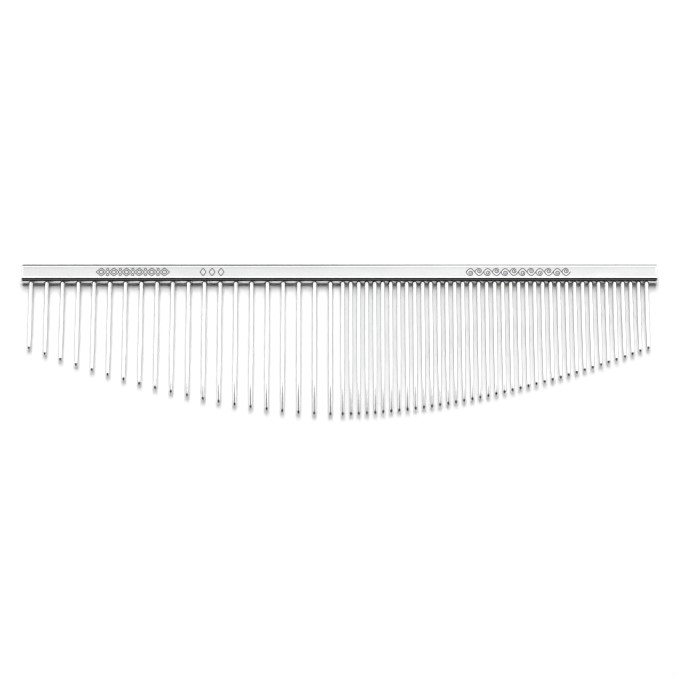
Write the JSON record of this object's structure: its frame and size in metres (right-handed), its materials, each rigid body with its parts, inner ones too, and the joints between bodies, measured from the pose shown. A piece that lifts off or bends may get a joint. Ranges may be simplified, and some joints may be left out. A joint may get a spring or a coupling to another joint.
{
  "type": "dematting comb",
  "caption": "Half-moon grooming comb: straight polished metal spine with round tapered teeth, wide-set on one half and close-set on the other, tips on one shallow arc.",
  "frame": {"origin": "centre of the spine's flat back face, which is the face the comb lies on", "axes": "+X along the spine from the coarse end to the fine end, -Y the way the teeth point, +Z out of the front face, so the comb lies on its back"},
  "size_m": [0.22, 0.0544, 0.0037],
  "materials": {
    "spine_chrome": "polished",
    "coarse_tooth_steel": "polished",
    "fine_tooth_steel": "polished"
  },
  "bodies": {
    "root": {"spine": "spine_chrome", "coarse_tooth_01": "coarse_tooth_steel", "coarse_tooth_02": "coarse_tooth_steel", "coarse_tooth_03": "coarse_tooth_steel", "coarse_tooth_04": "coarse_tooth_steel", "coarse_tooth_05": "coarse_tooth_steel", "coarse_tooth_06": "coarse_tooth_steel", "coarse_tooth_07": "coarse_tooth_steel", "coarse_tooth_08": "coarse_tooth_steel", "coarse_tooth_09": "coarse_tooth_steel", "coarse_tooth_10": "coarse_tooth_steel", "coarse_tooth_11": "coarse_tooth_steel", "coarse_tooth_12": "coarse_tooth_steel", "coarse_tooth_13": "coarse_tooth_steel", "coarse_tooth_14": "coarse_tooth_steel", "coarse_tooth_15": "coarse_tooth_steel", "coarse_tooth_16": "coarse_tooth_steel", "coarse_tooth_17": "coarse_tooth_steel", "coarse_tooth_18": "coarse_tooth_steel", "coarse_tooth_19": "coarse_tooth_steel", "coarse_tooth_20": "coarse_tooth_steel", "fine_tooth_01": "fine_tooth_steel", "fine_tooth_02": "fine_tooth_steel", "fine_tooth_03": "fine_tooth_steel", "fine_tooth_04": "fine_tooth_steel", "fine_tooth_05": "fine_tooth_steel", "fine_tooth_06": "fine_tooth_steel", "fine_tooth_07": "fine_tooth_steel", "fine_tooth_08": "fine_tooth_steel", "fine_tooth_09": "fine_tooth_steel", "fine_tooth_10": "fine_tooth_steel", "fine_tooth_11": "fine_tooth_steel", "fine_tooth_12": "fine_tooth_steel", "fine_tooth_13": "fine_tooth_steel", "fine_tooth_14": "fine_tooth_steel", "fine_tooth_15": "fine_tooth_steel", "fine_tooth_16": "fine_tooth_steel", "fine_tooth_17": "fine_tooth_steel", "fine_tooth_18": "fine_tooth_steel", "fine_tooth_19": "fine_tooth_steel", "fine_tooth_20": "fine_tooth_steel", "fine_tooth_21": "fine_tooth_steel", "fine_tooth_22": "fine_tooth_steel", "fine_tooth_23": "fine_tooth_steel", "fine_tooth_24": "fine_tooth_steel", "fine_tooth_25": "fine_tooth_steel", "fine_tooth_26": "fine_tooth_steel", "fine_tooth_27": "fine_tooth_steel", "fine_tooth_28": "fine_tooth_steel", "fine_tooth_29": "fine_tooth_steel", "fine_tooth_30": "fine_tooth_steel", "fine_tooth_31": "fine_tooth_steel", "fine_tooth_32": "fine_tooth_steel", "fine_tooth_33": "fine_tooth_steel", "fine_tooth_34": "fine_tooth_steel", "fine_tooth_35": "fine_tooth_steel", "fine_tooth_36": "fine_tooth_steel", "fine_tooth_37": "fine_tooth_steel", "fine_tooth_38": "fine_tooth_steel", "fine_tooth_39": "fine_tooth_steel"}
  },
  "joints": []
}
